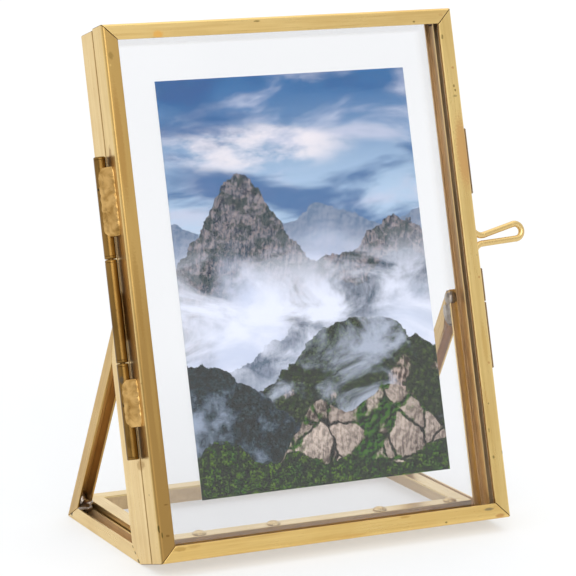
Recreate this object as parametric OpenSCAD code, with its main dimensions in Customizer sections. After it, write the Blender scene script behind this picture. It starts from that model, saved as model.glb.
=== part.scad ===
// Floating picture frame of folded brass strip.
// Two glass-filled halves are hinged along the left side and close over a print.
// A wire bolt on the right side locks them, and two open triangles of channel
// hold the frame up at a slope on a low rectangular base.
// X runs across the frame, Y runs away from the viewer and Z is up.
// The origin is in the middle of the space the frame takes up, at floor level.

/* [Frame size] */
// Outer width of the frame
frame_w = 142; // [120:1:170]
// Outer height of the frame, measured up its slope
frame_h = 193.2; // [175:1:230]
// Backward lean of the frame in degrees
lean = 15.1; // [12:0.1:18]
// Depth of the hinged front half
front_depth = 9.3; // [8.5:0.1:12]
// Depth of the rear half
rear_depth = 10.8; // [10:0.1:14]
// Gap between the closed halves
seam_gap = 0.6; // [0.3:0.05:0.7]
// How much lower the top of the rear half stands
rear_step = 0.6; // [0.2:0.1:1]

/* [Brass strip] */
// Thickness of the folded strip
strip_t = 0.8; // [0.6:0.05:0.9]
// Width of the front face of the bars
face_w = 5.8; // [4.5:0.1:8]
// Radius of the folded edge at the front
fold_r = 1.2; // [1:0.05:1.6]
// Width of the inner lip that carries a pane
lip_w = 2.8; // [2:0.1:4]
// Width of the lip at the back of the rear half
back_lip_w = 2; // [1.5:0.1:2.2]
// Length taken off each bar end so that the mitres show as a fine line
mitre_cut = 0.15; // [0.05:0.01:0.2]

/* [Glass and print] */
// Thickness of each pane
glass_t = 2; // [1.5:0.1:2.6]
// Free space between a pane and the strip around it
glass_play = 0.2; // [0.1:0.05:0.4]
// Width of the print
print_w = 101.6; // [70:0.1:105]
// Height of the print
print_h = 152.4; // [90:0.1:155]
// Thickness of the print
print_t = 0.2; // [0.1:0.01:0.22]
// Sideways offset of the print from the middle of the pane
print_shift = 1.6; // [-2:0.1:2]

/* [Hinge] */
// Outer radius of the hinge barrel and of the bolt tubes
barrel_r = 2.2; // [2:0.05:2.6]
// Gap between the hinge barrel and the side of the frame
barrel_gap = 0.4; // [0.3:0.05:0.8]
// Radius of the hinge pin
hinge_pin_r = 1; // [0.8:0.05:1.2]
// Running clearance of a pin in its tube
pin_play = 0.05; // [0.03:0.01:0.08]
// Height of the lower end of the hinge
hinge_foot = 37.8; // [30:0.1:45]
// Length of the lower knuckle
knuckle_low_l = 34.5; // [28:0.1:36]
// Length of the middle knuckle
knuckle_mid_l = 37.1; // [28:0.1:38]
// Length of the upper knuckle
knuckle_top_l = 36.8; // [28:0.1:38]
// Gap between neighbouring knuckles
knuckle_gap = 0.3; // [0.2:0.05:0.5]
// How far the solder beside a tube reaches from the seam
solder_reach = 5.6; // [4.5:0.1:6]
// Length of the solder beside each hinge knuckle
hinge_solder_l = 25; // [12:0.5:26]

/* [Bolt] */
// Radius of the bolt wire
wire_r = 1.2; // [1:0.05:1.3]
// Distance of the bolt axis from the side of the frame
bolt_offset = 3; // [2.9:0.05:3.6]
// Height of the lower end of the upper guide tube
guide_top_z = 123; // [120:0.5:128]
// Length of the upper guide tube
guide_top_l = 25; // [15:0.5:26]
// Height of the lower end of the lower guide tube
guide_low_z = 81.8; // [80:0.1:83]
// Length of the lower guide tube
guide_low_l = 12.6; // [11.5:0.1:13]
// Length of the catch tube on the front half
catch_l = 25.2; // [15:0.1:26]
// Height of the middle of the round end of the finger loop
loop_z = 107.35; // [106.5:0.05:108]
// Upward slope of the lower arm of the finger loop in degrees
low_slope = 3; // [2:0.5:4]
// Upward slope of the upper arm of the finger loop in degrees
high_slope = 13.5; // [12:0.5:14]
// Bend radius of the wire, taken at its middle line
bend_r = 4; // [3.8:0.1:4.2]
// Radius of the round end of the loop, taken at its middle line
loop_r = 2.85; // [2.8:0.05:3.2]
// Distance from the bolt axis to the middle of the round loop end
loop_reach = 18.6; // [17:0.1:22]
// How much the wire swells where a bend begins
bend_swell = 0.04; // [0.02:0.01:0.06]
// Distance from the lower end of the guide to the tip of the bolt
tip_inset = 0.3; // [0.2:0.1:1]

/* [Stand] */
// Height up the frame where the sloping legs meet it
leg_top = 88; // [75:1:100]
// Depth of the stand on the floor
stand_depth = 72.6; // [65:0.5:85]
// Width of the channel of the legs and foot bars
channel_w = 5.6; // [4.5:0.1:7]
// Depth of the sloping leg channel
leg_d = 5.9; // [5:0.1:7]
// Depth of the upright strip behind the frame
upright_d = 6; // [5:0.1:7]
// Width of the upright flange that lies on the frame
upright_flange = 4.7; // [2:0.1:5]
// Height of the foot bars
foot_h = 5.4; // [4.5:0.1:7]
// Height of the base frame
base_h = 7.6; // [7:0.1:9]
// Width of the top flange of the base frame
base_flange = 6; // [4:0.1:8]
// Distance from the rear edge of the frame to the front bar of the base
base_front = 0.6; // [0.6:0.1:2]
// Distance from the rear end of the stand to the rear bar of the base
base_back = 0.6; // [0.4:0.1:3]
// Gap between the base frame and the foot bars, bridged by solder
base_gap = 0.6; // [0.3:0.1:0.9]

/* [Solder] */
// Radius of the solder mounds on the front bar of the base
bead_r = 3.9; // [3.5:0.1:4.5]
// Height of the solder mounds
bead_h = 1.3; // [1:0.1:1.6]
// Length of the solder wedges in the frame corners
wedge_leg = 3; // [2:0.1:4]
// Distance of the rear solder wedges from the rear edge of the frame
wedge_back = 2; // [1:0.1:4]
// Radius of the solder pool in the rear corner of a foot bar
foot_pool_r = 8; // [6.5:0.1:9]
// Radius of the solder pool where a leg meets its upright
top_pool_r = 13; // [11:0.1:15]
// Radius of the solder pools between the base frame and the foot bars
gap_pool_r = 3.2; // [2:0.1:4]

/* [Hidden] */
$fn = 48;

// Shares of one size in another
half_share = 0.5;
solder_crown_share = 0.3;
solder_slope_share = 0.93;
fillet_share = 0.85;
pool_rise_share = 0.5;
upper_solder_share = 0.21;
lower_solder_share = 0.33;
lower_solder_l_share = 0.69;
guide_solder_share = 0.6;
bead_shares = [-0.33, -0.12, 0.19, 0.4];
gap_pool_shares = [0.16, 0.88];

// Derived sizes of the frame
side_x = frame_w * half_share;
rear_h = frame_h - rear_step;
front_back_w = rear_depth + seam_gap;
front_face_w = front_back_w + front_depth;
seam_mid_w = rear_depth + seam_gap * half_share;
pane_w = frame_w - (strip_t + glass_play) * 2;
pane_lip_d = front_depth - glass_t - strip_t;
rear_lip_w = rear_depth - glass_t - strip_t;
big = frame_w + frame_h;

// Derived sizes of the hinge and the bolt
hinge_x = -side_x - barrel_gap - barrel_r;
bolt_x = side_x + bolt_offset;
bolt_gap = bolt_offset - barrel_r;
hinge_mid_z = hinge_foot + knuckle_low_l + knuckle_gap;
hinge_top_z = hinge_mid_z + knuckle_mid_l + knuckle_gap;
hinge_l = hinge_top_z + knuckle_top_l - hinge_foot;
catch_z = guide_low_z - knuckle_gap - catch_l;

// Middle of the space taken up, which becomes the origin
lean_s = sin(lean);
lean_c = cos(lean);
x_low = hinge_x - barrel_r;
x_high = bolt_x + loop_reach + loop_r + wire_r;
y_low = fold_r * lean_s - (front_face_w - fold_r) * lean_c - fold_r;
y_high = stand_depth;
mid_x = (x_low + x_high) * half_share;
mid_y = (y_low + y_high) * half_share;

// Corners of the stand in side view, Y first and then Z
stand_top = [leg_top * lean_s, leg_top * lean_c];
leg_run = [stand_depth - stand_top[0], stand_top[1]];
leg_uy = leg_run[0] / norm(leg_run);
leg_uz = leg_run[1] / norm(leg_run);
upright_off = upright_d / lean_c;
leg_off = stand_depth - leg_d / leg_uz;
top_in_z = (leg_off - upright_off) / (lean_s / lean_c + leg_uy / leg_uz);
front_foot = [0, 0];
rear_foot = [stand_depth, 0];
front_foot_in = [foot_h * lean_s / lean_c + upright_off, foot_h];
rear_foot_in = [leg_off - foot_h * leg_uy / leg_uz, foot_h];
stand_top_in = [top_in_z * lean_s / lean_c + upright_off, top_in_z];

// Base frame outline
base_x = side_x - channel_w - base_gap;
base_y0 = base_front;
base_y1 = stand_depth - base_back;

// Moves a piece so that the origin is in the middle at floor level
module placed() {
  translate([-mid_x, -mid_y, 0])
    children();
}

// Moves a piece drawn upright and lays it back by the lean
module leaned() {
  placed()
    rotate([-lean, 0, 0])
      children();
}

// Pulls a side view shape along X to both sides of the middle
module along_x(l) {
  rotate([90, 0, 90])
    linear_extrude(l, center = true)
      children();
}

// Pulls a side view shape from a given X over a given width
module side_plate(x, w) {
  placed()
    translate([x, 0, 0])
      rotate([90, 0, 90])
        linear_extrude(w)
          children();
}

// Puts a bar that lies along the bottom onto one of the four sides
module on_side(side, h) {
  if (side == "bottom")
    children();
  if (side == "top")
    translate([0, 0, h])
      rotate([0, 180, 0])
        children();
  if (side == "left")
    translate([-side_x, 0, h * half_share])
      rotate([0, 90, 0])
        children();
  if (side == "right")
    translate([side_x, 0, h * half_share])
      rotate([0, -90, 0])
        children();
}

// Front strip seen from its end, with a rounded fold, a face and a pane lip
module front_section() {
  translate([-front_face_w, 0]) {
    translate([fold_r, 0])
      square([front_depth - fold_r, strip_t]);
    translate([0, fold_r])
      square([strip_t, face_w - fold_r]);
    intersection() {
      square([fold_r, fold_r]);
      translate([fold_r, fold_r])
        difference() {
          circle(fold_r);
          circle(fold_r - strip_t);
        }
    }
    translate([pane_lip_d, 0])
      square([strip_t, lip_w]);
  }
}

// Rear strip seen from its end, a side with a pane lip and a narrow back lip
module rear_section() {
  translate([-rear_depth, 0]) {
    square([rear_depth, strip_t]);
    translate([glass_t, 0])
      square([strip_t, lip_w]);
    translate([rear_depth - strip_t, 0])
      square([strip_t, back_lip_w]);
  }
}

// A bar with both ends cut at 45 degrees, lying along the bottom side
module mitred(span) {
  reach = span * half_share - mitre_cut;
  intersection() {
    along_x(span)
      children();
    rotate([90, 0, 0])
      linear_extrude(big, center = true)
        polygon([
          [-reach, 0],
          [reach, 0],
          [reach - face_w * 2, face_w * 2],
          [-reach + face_w * 2, face_w * 2]
        ]);
  }
}

// A bar of the front half on a given side
module front_bar(side, span) {
  leaned()
    on_side(side, frame_h)
      mitred(span)
        front_section();
}

// A bar of the rear half on a given side
module rear_bar(side, span) {
  leaned()
    on_side(side, rear_h)
      mitred(span)
        rear_section();
}

module front_top_bar() {
  color("goldenrod")
    front_bar("top", frame_w);
}

module front_bottom_bar() {
  color("goldenrod")
    front_bar("bottom", frame_w);
}

module front_left_bar() {
  color("goldenrod")
    front_bar("left", frame_h);
}

module front_right_bar() {
  color("goldenrod")
    front_bar("right", frame_h);
}

module rear_top_bar() {
  color("darkgoldenrod")
    rear_bar("top", frame_w);
}

module rear_bottom_bar() {
  color("darkgoldenrod")
    rear_bar("bottom", frame_w);
}

module rear_left_bar() {
  color("darkgoldenrod")
    rear_bar("left", rear_h);
}

module rear_right_bar() {
  color("darkgoldenrod")
    rear_bar("right", rear_h);
}

// A pane in a half of a given height, its rear face at a given depth
module pane(back_w, h) {
  leaned()
    translate([-pane_w * half_share, -back_w - glass_t, strip_t + glass_play])
      cube([pane_w, glass_t, h - (strip_t + glass_play) * 2]);
}

module front_glass() {
  color("lightcyan")
    pane(front_back_w, frame_h);
}

module rear_glass() {
  color("lightcyan")
    pane(rear_depth - glass_t, rear_h);
}

// The print lies on the front of the rear pane
module print() {
  color("slategray")
    leaned()
      translate([print_shift - print_w * half_share, -rear_depth - print_t,
        (frame_h - print_h) * half_share])
        cube([print_w, print_t, print_h]);
}

// Solder wedges in the four inner corners, over a given depth
module corner_wedges(back_w, deep, h) {
  leaned()
    for (sx = [-1, 1])
      for (sz = [-1, 1])
        translate([sx * (side_x - strip_t), 0,
          h * half_share + sz * (h * half_share - strip_t)])
          rotate([90, 0, 0])
            translate([0, 0, back_w])
              linear_extrude(deep)
                difference() {
                  polygon([
                    [0, 0],
                    [-sx * wedge_leg, 0],
                    [0, -sz * wedge_leg]
                  ]);
                  translate([-sx * wedge_leg, -sz * wedge_leg])
                    circle(wedge_leg * fillet_share);
                }
}

module front_corner_solder() {
  color("tan")
    corner_wedges(front_face_w - pane_lip_d, pane_lip_d - fold_r, frame_h);
}

module rear_corner_solder() {
  color("tan")
    corner_wedges(wedge_back, rear_lip_w - wedge_back, rear_h);
}

// A tube beside the frame, standing on its lower end
module tube(x, z, l, bore_r) {
  leaned()
    translate([x, -seam_mid_w, z])
      difference() {
        cylinder(h = l, r = barrel_r);
        translate([0, 0, -seam_gap])
          cylinder(h = l + seam_gap * 2, r = bore_r);
      }
}

module hinge_upper_knuckle() {
  color("peru")
    tube(hinge_x, hinge_top_z, knuckle_top_l, hinge_pin_r + pin_play);
}

module hinge_middle_knuckle() {
  color("peru")
    tube(hinge_x, hinge_mid_z, knuckle_mid_l, hinge_pin_r + pin_play);
}

module hinge_lower_knuckle() {
  color("peru")
    tube(hinge_x, hinge_foot, knuckle_low_l, hinge_pin_r + pin_play);
}

module hinge_pin() {
  color("gold")
    leaned()
      translate([hinge_x, -seam_mid_w, hinge_foot])
        cylinder(h = hinge_l, r = hinge_pin_r);
}

module bolt_upper_guide() {
  color("peru")
    tube(bolt_x, guide_top_z, guide_top_l, wire_r + pin_play);
}

module bolt_lower_guide() {
  color("peru")
    tube(bolt_x, guide_low_z, guide_low_l, wire_r + pin_play);
}

module bolt_catch() {
  color("peru")
    tube(bolt_x, catch_z, catch_l, wire_r + pin_play);
}

// Solder in the corner between a tube and the frame side
// Side is -1 left and 1 right, way is 1 forward and -1 backward
module tube_solder(side, gap, z, l, way) {
  edge = gap + barrel_r;
  start = seam_gap * half_share;
  leaned()
    translate([side * (side_x + edge), -seam_mid_w, z])
      linear_extrude(l)
        difference() {
          polygon([
            [0, -way * start],
            [-side * edge, -way * start],
            [-side * edge, -way * solder_reach],
            [side * barrel_r * solder_crown_share,
              -way * barrel_r * solder_slope_share]
          ]);
          circle(barrel_r);
        }
}

module hinge_front_solder() {
  color("tan") {
    tube_solder(-1, barrel_gap, hinge_top_z + knuckle_top_l * upper_solder_share,
      hinge_solder_l, 1);
    tube_solder(-1, barrel_gap, hinge_foot + knuckle_low_l * lower_solder_share,
      hinge_solder_l * lower_solder_l_share, 1);
  }
}

module hinge_middle_solder() {
  color("tan")
    tube_solder(-1, barrel_gap, hinge_mid_z + knuckle_mid_l * upper_solder_share,
      hinge_solder_l * lower_solder_l_share, -1);
}

module bolt_guide_solder() {
  color("tan") {
    tube_solder(1, bolt_gap, guide_top_z + guide_top_l * upper_solder_share,
      guide_top_l * guide_solder_share, -1);
    tube_solder(1, bolt_gap, guide_low_z + guide_low_l * upper_solder_share,
      guide_low_l * guide_solder_share, -1);
  }
}

module bolt_catch_solder() {
  color("tan")
    tube_solder(1, bolt_gap, catch_z + catch_l * upper_solder_share,
      catch_l * guide_solder_share, 1);
}

// Straight piece of wire in the plane of X and Z
module wire_line(p, heading, l) {
  translate([p[0], 0, p[1]])
    rotate([0, 90 - heading, 0])
      translate([0, 0, bend_swell])
        cylinder(h = l - bend_swell * 2, r = wire_r);
}

// Bent piece of wire about a centre, from one angle over a sweep
// Each end is swollen a little, as the bending tool leaves it
module wire_bend(c, r, from, sweep) {
  translate([c[0], 0, c[1]])
    rotate([90, 0, 0]) {
      rotate([0, 0, from + bend_trim])
        rotate_extrude(angle = sweep - bend_trim * 2)
          translate([r, 0])
            circle(wire_r);
      for (a = [from, from + sweep])
        rotate([0, 0, a])
          translate([r, 0, 0])
            sphere(wire_r + bend_swell);
    }
}

// Angle left free inside the swollen ends of a bend
bend_trim = 0.5;

// Middles of the bends and the round end of the finger loop, in X and Z
// Each bend touches the straight wire on one side and its arm on the other
loop_c = [loop_reach, loop_z];
loop_run = loop_reach - bend_r;
low_bend_c = [bend_r, loop_z - (loop_r + bend_r) / cos(low_slope)
  - loop_run * tan(low_slope)];
high_bend_c = [bend_r, loop_z + (loop_r + bend_r) / cos(high_slope)
  - loop_run * tan(high_slope)];

// Direction square to an arm of a given slope
function across(slope) = [-sin(slope), cos(slope)];

// Length of an arm, 1 for the upper and -1 for the lower
function arm_l(up, slope) =
  (loop_run - up * (loop_r + bend_r) * sin(slope)) / cos(slope);

// The bolt wire with its finger loop, bent from one straight wire
module bolt_wire() {
  tip_z = guide_low_z + tip_inset;
  end_z = guide_top_z + guide_top_l - tip_inset;
  color("gold")
    leaned()
      translate([bolt_x, -seam_mid_w, 0])
        union() {
          wire_line([0, tip_z], 90, low_bend_c[1] - tip_z);
          wire_bend(low_bend_c, bend_r, 90 + low_slope, 90 - low_slope);
          wire_line(low_bend_c + bend_r * across(low_slope), low_slope,
            arm_l(-1, low_slope));
          wire_bend(loop_c, loop_r, low_slope - 90, 180 + high_slope - low_slope);
          wire_line(high_bend_c - bend_r * across(high_slope), high_slope,
            arm_l(1, high_slope));
          wire_bend(high_bend_c, bend_r, 180, 90 + high_slope);
          wire_line([0, high_bend_c[1]], 90, end_z - high_bend_c[1]);
        }
}

// Share of the stand triangle that belongs to the upright, in side view
module upright_area() {
  polygon([front_foot, front_foot_in, stand_top_in, stand_top]);
}

// Share of the stand triangle that belongs to the foot bar
module foot_area() {
  difference() {
    polygon([front_foot, rear_foot, rear_foot_in, front_foot_in]);
    band(front_foot, front_foot_in, -1, mitre_cut);
    band(rear_foot, rear_foot_in, 1, mitre_cut);
  }
}

// Share of the stand triangle that belongs to the leg
module leg_area() {
  difference() {
    polygon([rear_foot, stand_top, stand_top_in, rear_foot_in]);
    band(stand_top, stand_top_in, 1, mitre_cut);
  }
}

// Band of a given thickness beside a line of the side view
// Way is 1 for the left of the line and -1 for its right
// The band also covers one strip thickness on the other side of the line
module band(from, to, way, t) {
  run = to - from;
  l = norm(run);
  translate(from)
    rotate(atan2(run[1], run[0]))
      translate([-l, way > 0 ? -strip_t : -t])
        square([l * 3, t + strip_t]);
}

// X where a plate of a given width starts, counted from the outer side
function plate_x(side, inset, w) =
  side > 0 ? side_x - inset - w : -side_x + inset;

// Upright angle behind the frame
module upright(side) {
  side_plate(plate_x(side, 0, strip_t), strip_t)
    upright_area();
  side_plate(plate_x(side, 0, upright_flange), upright_flange)
    intersection() {
      upright_area();
      band(front_foot, stand_top, -1, strip_t);
    }
}

// Sloping leg of channel, open towards the inside of the triangle
module leg(side) {
  side_plate(plate_x(side, 0, strip_t), strip_t)
    leg_area();
  side_plate(plate_x(side, channel_w - strip_t, strip_t), strip_t)
    leg_area();
  side_plate(plate_x(side, 0, channel_w), channel_w)
    intersection() {
      leg_area();
      band(rear_foot, stand_top, 1, strip_t);
    }
}

// Foot bar of channel, open upwards
module foot_bar(side) {
  side_plate(plate_x(side, 0, strip_t), strip_t)
    foot_area();
  side_plate(plate_x(side, channel_w - strip_t, strip_t), strip_t)
    foot_area();
  side_plate(plate_x(side, 0, channel_w), channel_w)
    intersection() {
      foot_area();
      band(front_foot, rear_foot, 1, strip_t);
    }
}

module left_upright() {
  color("goldenrod")
    upright(-1);
}

module right_upright() {
  color("goldenrod")
    upright(1);
}

module left_leg() {
  color("goldenrod")
    leg(-1);
}

module right_leg() {
  color("goldenrod")
    leg(1);
}

module left_foot_bar() {
  color("darkgoldenrod")
    foot_bar(-1);
}

module right_foot_bar() {
  color("darkgoldenrod")
    foot_bar(1);
}

// Base angle strip of a given span, standing on Y zero, flange at the top
module base_angle(span) {
  reach = span * half_share - mitre_cut;
  intersection() {
    along_x(span) {
      square([strip_t, base_h]);
      translate([0, base_h - strip_t])
        square([base_flange, strip_t]);
    }
    linear_extrude(big)
      polygon([
        [-reach, 0],
        [reach, 0],
        [reach - base_flange * 2, base_flange * 2],
        [-reach + base_flange * 2, base_flange * 2]
      ]);
  }
}

module base_front_bar() {
  color("goldenrod")
    placed()
      translate([0, base_y0, 0])
        base_angle(base_x * 2);
}

module base_rear_bar() {
  color("goldenrod")
    placed()
      translate([0, base_y1, 0])
        rotate([0, 0, 180])
          base_angle(base_x * 2);
}

module base_left_bar() {
  color("goldenrod")
    placed()
      translate([-base_x, (base_y0 + base_y1) * half_share, 0])
        rotate([0, 0, -90])
          base_angle(base_y1 - base_y0);
}

module base_right_bar() {
  color("goldenrod")
    placed()
      translate([base_x, (base_y0 + base_y1) * half_share, 0])
        rotate([0, 0, 90])
          base_angle(base_y1 - base_y0);
}

// Low mounds of solder along the front bar of the base, flat underneath
module base_bead_solder() {
  color("tan")
    placed()
      for (s = bead_shares)
        translate([frame_w * s, base_y0 + base_flange * half_share, base_h])
          difference() {
            translate([0, 0, bead_h - bead_r])
              sphere(bead_r);
            translate([-bead_r, -bead_r, -bead_r * 2])
              cube([bead_r * 2, bead_r * 2, bead_r * 2]);
          }
}

// Solder inside the channels at a corner of the triangle, in side view
module pool_area(corner, r) {
  difference() {
    intersection() {
      translate(corner)
        circle(r);
      polygon([front_foot, rear_foot, stand_top]);
    }
    polygon([front_foot_in, rear_foot_in, stand_top_in]);
    band(front_foot, stand_top, -1, strip_t);
    band(rear_foot, stand_top, 1, strip_t);
    band(front_foot, rear_foot, 1, strip_t);
  }
}

// Solder pools in the stand corners and between base frame and foot bars
module stand_corner_solder() {
  inner_w = channel_w - strip_t * 2;
  color("tan")
    for (side = [-1, 1]) {
      side_plate(plate_x(side, strip_t, inner_w), inner_w)
        pool_area(rear_foot, foot_pool_r);
      side_plate(plate_x(side, strip_t, inner_w), inner_w)
        pool_area(stand_top, top_pool_r);
      for (s = gap_pool_shares)
        side_plate(plate_x(side, channel_w, base_gap), base_gap)
          intersection() {
            translate([stand_depth * s, gap_pool_r * pool_rise_share])
              circle(gap_pool_r);
            translate([0, strip_t])
              square([stand_depth, foot_h - strip_t]);
          }
    }
}

rear_top_bar();
rear_bottom_bar();
rear_left_bar();
rear_right_bar();
rear_glass();
print();
rear_corner_solder();
hinge_middle_knuckle();
hinge_pin();
hinge_middle_solder();
bolt_upper_guide();
bolt_lower_guide();
bolt_guide_solder();
front_top_bar();
front_bottom_bar();
front_left_bar();
front_right_bar();
front_glass();
front_corner_solder();
hinge_upper_knuckle();
hinge_lower_knuckle();
hinge_front_solder();
bolt_catch();
bolt_catch_solder();
bolt_wire();
left_upright();
right_upright();
left_leg();
right_leg();
left_foot_bar();
right_foot_bar();
base_front_bar();
base_rear_bar();
base_left_bar();
base_right_bar();
base_bead_solder();
stand_corner_solder();
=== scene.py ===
# %% [markdown]
# A floating picture frame of folded brass strip: two halves filled with glass close like a book over a print, and
# two open triangles of brass channel hold them up at a slope.
# The imported CAD model gives every piece its place. Blender adds what a drawing leaves out: softened edges, brushed
# and stained brass with painted shade in its folds, lumpy solder, clear glass and a picture.

# %% Load the fixed frame
from math import cos, pi, radians, sin
import bmesh
import bpy
from mathutils import Matrix, Vector


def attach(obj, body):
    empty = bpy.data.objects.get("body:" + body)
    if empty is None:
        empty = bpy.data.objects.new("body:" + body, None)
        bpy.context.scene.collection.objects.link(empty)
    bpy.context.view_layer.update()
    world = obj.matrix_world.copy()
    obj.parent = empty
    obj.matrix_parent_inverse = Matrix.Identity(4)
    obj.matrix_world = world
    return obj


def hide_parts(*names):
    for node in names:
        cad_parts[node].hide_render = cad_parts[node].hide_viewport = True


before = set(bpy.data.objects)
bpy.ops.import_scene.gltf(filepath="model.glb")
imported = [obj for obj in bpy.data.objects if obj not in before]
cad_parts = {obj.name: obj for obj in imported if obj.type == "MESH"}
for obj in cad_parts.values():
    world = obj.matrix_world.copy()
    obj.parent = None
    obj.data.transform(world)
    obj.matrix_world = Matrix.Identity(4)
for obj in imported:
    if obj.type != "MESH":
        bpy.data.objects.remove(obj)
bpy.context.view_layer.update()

# %% [markdown]
# The frame leans back, so its pieces are easier to describe standing upright. U runs across it, V runs up it and W
# comes out of it towards the viewer, all in millimetres. One matrix lays such a piece back and moves it to where the
# CAD has it. Working upright and turning the mesh once at the end keeps every number readable. The stand is described
# in plain X, Y and Z from the foot of the frame, and needs only the move.

# %% Sizes and the lean
MM = 0.001
LEAN = 15.1
FOOT = Vector((-10.425, -26.443, 0)) * MM
LAID_BACK = Matrix.Translation(FOOT) @ Matrix.Rotation(radians(-LEAN), 4, "X")
STOOD_UP = LAID_BACK.inverted()
SIDE_U = 71.0
FRAME_H = 193.2
REAR_H = 192.6
SEAM_W = 11.1
FACE_W = 20.7
HINGE_U = -73.6
BOLT_U = 74.0


def upright(u, v, w):
    """A place in the standing frame, from millimetres."""
    return Vector((u, -w, v)) * MM


def laid(u, v, w):
    """The same place once the frame leans back."""
    return LAID_BACK @ upright(u, v, w)


def stand(x, y, z):
    """A place in the stand, from millimetres."""
    return Vector((x, y, z)) * MM + FOOT


print("top front corner:", [round(c * 1000, 1) for c in laid(SIDE_U, FRAME_H, FACE_W)])

# %% [markdown]
# The camera stands to the left of the frame and a little above it, far away with a long lens, so that the two sides
# of the frame stay nearly parallel. Its place was found by matching corners of the CAD to the photograph, and it is
# rolled by a sixth of a degree, as a hand-held camera is. A small helper puts it in the scene, and later the pieces
# and the lamps too.

# %% Camera
def into_scene(name, data):
    """A new object that shows the given mesh, lamp or camera."""
    made = bpy.data.objects.new(name, data)
    bpy.context.scene.collection.objects.link(made)
    return made


CAMERA_TURN, CAMERA_RISE, CAMERA_ROLL = radians(-25.49), radians(11.0), radians(-0.157)
CAMERA_DISTANCE, LENS_MM, FILM_MM = 1.007, 173.74, 36.0
aim = Vector((-22.34, -26.443, 96.36)) * MM
away = Vector((
    sin(CAMERA_TURN) * cos(CAMERA_RISE),
    -cos(CAMERA_TURN) * cos(CAMERA_RISE),
    sin(CAMERA_RISE),
))
lens = bpy.data.cameras.new("photo_camera")
lens.lens, lens.sensor_width = LENS_MM, FILM_MM
camera = into_scene("photo_camera", lens)
camera.location = aim + away * CAMERA_DISTANCE
camera.rotation_mode = "QUATERNION"
level = (-away).to_track_quat("-Z", "Y")
camera.rotation_quaternion = level @ Matrix.Rotation(CAMERA_ROLL, 3, "Z").to_quaternion()
bpy.context.scene.camera = camera
print("camera at", [round(c, 3) for c in camera.location])

# %% [markdown]
# Shader nodes are easier to read as sums than as boxes and wires. These small helpers add one node each and accept
# either a number or the output of another node. Tree is always the material or group that the nodes go into.

# %% Helpers that add one shader node
def put(tree, socket, value):
    """Links a node's output to a socket, or sets the socket's own value."""
    if isinstance(value, bpy.types.NodeSocket):
        tree.links.new(value, socket)
    else:
        socket.default_value = value


def add(tree, kind, inputs=None, **settings):
    made = tree.nodes.new(kind)
    for name, value in settings.items():
        setattr(made, name, value)
    for name, value in (inputs or {}).items():
        put(tree, made.inputs[name], value)
    return made


def sums(tree, operation, *values, clamp=False):
    made = add(tree, "ShaderNodeMath", operation=operation, use_clamp=clamp)
    for socket, value in zip(made.inputs, values):
        put(tree, socket, value)
    return made.outputs[0]


def plus(tree, a, b, clamp=False):
    return sums(tree, "ADD", a, b, clamp=clamp)


def minus(tree, a, b, clamp=False):
    return sums(tree, "SUBTRACT", a, b, clamp=clamp)


def times(tree, a, b):
    return sums(tree, "MULTIPLY", a, b)


def vectors(tree, operation, *values):
    made = add(tree, "ShaderNodeVectorMath", operation=operation)
    for socket, value in zip(made.inputs, values):
        put(tree, socket, value)
    return made.outputs["Value" if operation in ("LENGTH", "DOT_PRODUCT") else "Vector"]


def blend_colours(tree, factor, a, b):
    made = add(tree, "ShaderNodeMix", data_type="RGBA")
    for index, value in ((0, factor), (6, a), (7, b)):
        put(tree, made.inputs[index], value)
    return made.outputs[2]


def eased(tree, value, low, high, out_low=0.0, out_high=1.0):
    """A smooth step of value from low to high."""
    made = add(tree, "ShaderNodeMapRange", interpolation_type="SMOOTHSTEP")
    for socket, number in zip(made.inputs, (value, low, high, out_low, out_high)):
        put(tree, socket, number)
    return made.outputs[0]


def grain_noise(tree, place, scale, detail=3.0, rough=0.55, distortion=0.0):
    made = add(tree, "ShaderNodeTexNoise", {
        "Vector": place, "Scale": scale, "Detail": detail, "Roughness": rough, "Distortion": distortion})
    return made.outputs[0]


def object_place(tree):
    """Object coordinates, which are the piece's own place in metres."""
    return add(tree, "ShaderNodeTexCoord").outputs["Object"]


def new_material(name):
    """A material, its node tree and its Principled shader."""
    made = bpy.data.materials.new(name)
    made.use_nodes = True
    return made, made.node_tree, made.node_tree.nodes["Principled BSDF"]


def srgb(r, g, b):
    """A colour as read from a screen, 0 to 255, made linear for Blender."""
    def linear(c):
        c /= 255
        return c / 12.92 if c <= 0.04045 else ((c + 0.055) / 1.055) ** 2.4
    return (linear(r), linear(g), linear(b), 1.0)


print("brass in the light:", [round(c, 2) for c in srgb(233, 205, 137)])

# %% [markdown]
# Brushed brass is a shader group, because every strip, tube and wire uses it with its own colours. Long fine streaks
# follow the strip, wider bands and cloudy stains lie under them, and small brown specks are scattered on top. The
# group takes a place whose X runs along the grain, so a strip in any direction can use it. The streaks are noise
# that is squeezed far more across the grain than along it. Two helpers come first, one to make a group with its
# sockets and one to place it in a material.

# %% Making and placing shader groups
def new_group(name, inputs, outputs):
    tree = bpy.data.node_groups.new(name, "ShaderNodeTree")
    kinds = {"vector": "NodeSocketVector", "colour": "NodeSocketColor", "value": "NodeSocketFloat"}
    for socket, kind in inputs.items():
        tree.interface.new_socket(socket, in_out="INPUT", socket_type=kinds[kind])
    for socket, kind in outputs.items():
        tree.interface.new_socket(socket, in_out="OUTPUT", socket_type=kinds[kind])
    return tree, tree.nodes.new("NodeGroupInput").outputs, tree.nodes.new("NodeGroupOutput").inputs


def use_group(tree, group, **values):
    made = tree.nodes.new("ShaderNodeGroup")
    made.node_tree = group
    for name, value in values.items():
        put(tree, made.inputs[name], value)
    return made.outputs


print("group helpers ready")

# %% Shader group: brushed brass
FINE_STREAK, WIDE_STREAK = (45.0, 1700.0, 1700.0), (9.0, 330.0, 330.0)
SPECK_SHARE = 0.07

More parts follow.
